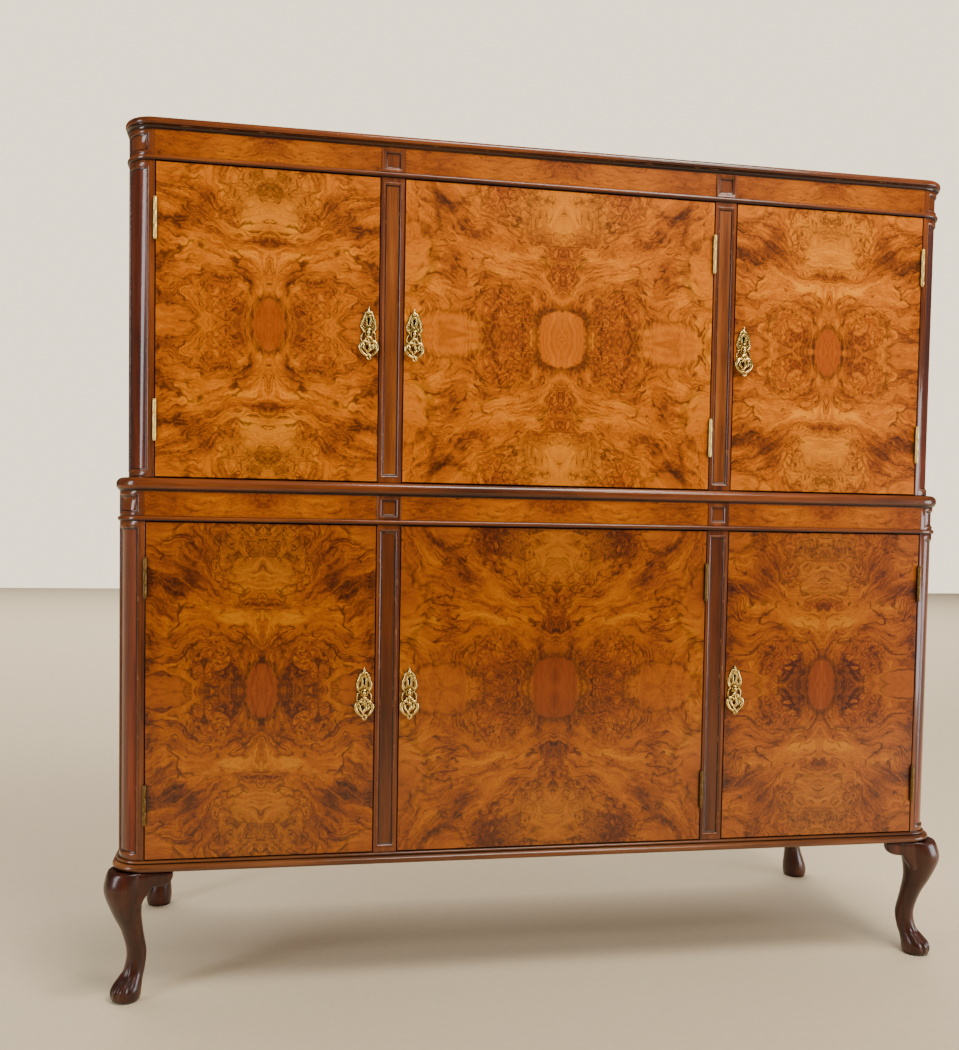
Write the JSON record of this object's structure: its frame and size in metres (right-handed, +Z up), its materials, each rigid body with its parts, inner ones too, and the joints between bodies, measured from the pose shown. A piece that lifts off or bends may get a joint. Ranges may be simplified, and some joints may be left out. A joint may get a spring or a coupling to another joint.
{
  "type": "cabinet",
  "caption": "Tall burr-veneered cupboard with an upper and a lower stage on cabriole legs, with hinged doors, pierced brass drop pulls, locks and shelves inside.",
  "frame": {"origin": "on the floor below the middle of the cabinet's box", "axes": "+X to the cabinet's right as seen from the front, +Y towards its back, +Z up"},
  "size_m": [1.54, 0.5209, 1.4625],
  "materials": {
    "burr_veneer": "quarter-matched burr walnut veneer under a gloss polish",
    "walnut": "dark red-brown walnut under a gloss polish",
    "inner_wood": "plain satin wood",
    "brass": "cast, aged",
    "steel": "dull"
  },
  "bodies": {
    "carcase": {"base_board": "walnut", "waist_board": "walnut", "top_board": "walnut", "upper_left_side": "walnut", "upper_right_side": "walnut", "upper_back": "inner_wood", "upper_partitions": "inner_wood", "upper_corner_posts": "walnut", "upper_frieze": "burr_veneer", "upper_bead": "walnut", "upper_pilasters": "walnut", "lower_left_side": "walnut", "lower_right_side": "walnut", "lower_back": "inner_wood", "lower_partitions": "inner_wood", "lower_corner_posts": "walnut", "lower_frieze": "burr_veneer", "lower_bead": "walnut", "lower_pilasters": "walnut", "shelves": "inner_wood", "front_legs": "walnut", "back_legs": "walnut", "hinge_frame_leaves": "brass", "hinge_pins": "brass"},
    "upper_left_door": {"upper_left_door": "burr_veneer", "upper_left_hinge_leaves": "brass", "upper_left_lock_case": "steel", "upper_left_pull_plate": "brass"},
    "upper_left_drop": {"upper_left_pull_drop": "brass"},
    "upper_left_bolt": {"upper_left_lock_bolt": "steel"},
    "upper_middle_door": {"upper_middle_door": "burr_veneer", "upper_middle_hinge_leaves": "brass", "upper_middle_lock_case": "steel", "upper_middle_pull_plate": "brass"},
    "upper_middle_drop": {"upper_middle_pull_drop": "brass"},
    "upper_middle_bolt": {"upper_middle_lock_bolt": "steel"},
    "upper_right_door": {"upper_right_door": "burr_veneer", "upper_right_hinge_leaves": "brass", "upper_right_lock_case": "steel", "upper_right_pull_plate": "brass"},
    "upper_right_drop": {"upper_right_pull_drop": "brass"},
    "upper_right_bolt": {"upper_right_lock_bolt": "steel"},
    "lower_left_door": {"lower_left_door": "burr_veneer", "lower_left_hinge_leaves": "brass", "lower_left_lock_case": "steel", "lower_left_pull_plate": "brass"},
    "lower_left_drop": {"lower_left_pull_drop": "brass"},
    "lower_left_bolt": {"lower_left_lock_bolt": "steel"},
    "lower_middle_door": {"lower_middle_door": "burr_veneer", "lower_middle_hinge_leaves": "brass", "lower_middle_lock_case": "steel", "lower_middle_pull_plate": "brass"},
    "lower_middle_drop": {"lower_middle_pull_drop": "brass"},
    "lower_middle_bolt": {"lower_middle_lock_bolt": "steel"},
    "lower_right_door": {"lower_right_door": "burr_veneer", "lower_right_hinge_leaves": "brass", "lower_right_lock_case": "steel", "lower_right_pull_plate": "brass"},
    "lower_right_drop": {"lower_right_pull_drop": "brass"},
    "lower_right_bolt": {"lower_right_lock_bolt": "steel"}
  },
  "joints": [
    {"name": "upper_left_door_hinge", "type": "hinge", "parent": "carcase", "child": "upper_left_door", "pos_m": [-0.689, -0.2428, 1.1365], "axis": [0, 0, -1], "range_deg": [0, 170]},
    {"name": "upper_left_drop_swing", "type": "hinge", "parent": "upper_left_door", "child": "upper_left_drop", "pos_m": [-0.339, -0.2457, 1.1315], "axis": [-1, 0, 0], "range_deg": [0, 75]},
    {"name": "upper_left_bolt_slide", "type": "slide", "parent": "upper_left_door", "child": "upper_left_bolt", "axis": [1, 0, 0], "range_m": [0, 0.008]},
    {"name": "upper_middle_door_hinge", "type": "hinge", "parent": "carcase", "child": "upper_middle_door", "pos_m": [0.279, -0.2428, 1.1365], "axis": [0, 0, 1], "range_deg": [0, 120]},
    {"name": "upper_middle_drop_swing", "type": "hinge", "parent": "upper_middle_door", "child": "upper_middle_drop", "pos_m": [-0.261, -0.2457, 1.1315], "axis": [-1, 0, 0], "range_deg": [0, 75]},
    {"name": "upper_middle_bolt_slide", "type": "slide", "parent": "upper_middle_door", "child": "upper_middle_bolt", "axis": [-1, 0, 0], "range_m": [0, 0.008]},
    {"name": "upper_right_door_hinge", "type": "hinge", "parent": "carcase", "child": "upper_right_door", "pos_m": [0.689, -0.2428, 1.1365], "axis": [0, 0, 1], "range_deg": [0, 170]},
    {"name": "upper_right_drop_swing", "type": "hinge", "parent": "upper_right_door", "child": "upper_right_drop", "pos_m": [0.339, -0.2457, 1.1315], "axis": [-1, 0, 0], "range_deg": [0, 75]},
    {"name": "upper_right_bolt_slide", "type": "slide", "parent": "upper_right_door", "child": "upper_right_bolt", "axis": [-1, 0, 0], "range_m": [0, 0.008]},
    {"name": "lower_left_door_hinge", "type": "hinge", "parent": "carcase", "child": "lower_left_door", "pos_m": [-0.703, -0.2428, 0.5235], "axis": [0, 0, -1], "range_deg": [0, 170]},
    {"name": "lower_left_drop_swing", "type": "hinge", "parent": "lower_left_door", "child": "lower_left_drop", "pos_m": [-0.339, -0.2457, 0.5185], "axis": [-1, 0, 0], "range_deg": [0, 75]},
    {"name": "lower_left_bolt_slide", "type": "slide", "parent": "lower_left_door", "child": "lower_left_bolt", "axis": [1, 0, 0], "range_m": [0, 0.008]},
    {"name": "lower_middle_door_hinge", "type": "hinge", "parent": "carcase", "child": "lower_middle_door", "pos_m": [0.279, -0.2428, 0.5235], "axis": [0, 0, 1], "range_deg": [0, 120]},
    {"name": "lower_middle_drop_swing", "type": "hinge", "parent": "lower_middle_door", "child": "lower_middle_drop", "pos_m": [-0.261, -0.2457, 0.5185], "axis": [-1, 0, 0], "range_deg": [0, 75]},
    {"name": "lower_middle_bolt_slide", "type": "slide", "parent": "lower_middle_door", "child": "lower_middle_bolt", "axis": [-1, 0, 0], "range_m": [0, 0.008]},
    {"name": "lower_right_door_hinge", "type": "hinge", "parent": "carcase", "child": "lower_right_door", "pos_m": [0.703, -0.2428, 0.5235], "axis": [0, 0, 1], "range_deg": [0, 170]},
    {"name": "lower_right_drop_swing", "type": "hinge", "parent": "lower_right_door", "child": "lower_right_drop", "pos_m": [0.339, -0.2457, 0.5185], "axis": [-1, 0, 0], "range_deg": [0, 75]},
    {"name": "lower_right_bolt_slide", "type": "slide", "parent": "lower_right_door", "child": "lower_right_bolt", "axis": [-1, 0, 0], "range_m": [0, 0.008]}
  ]
}
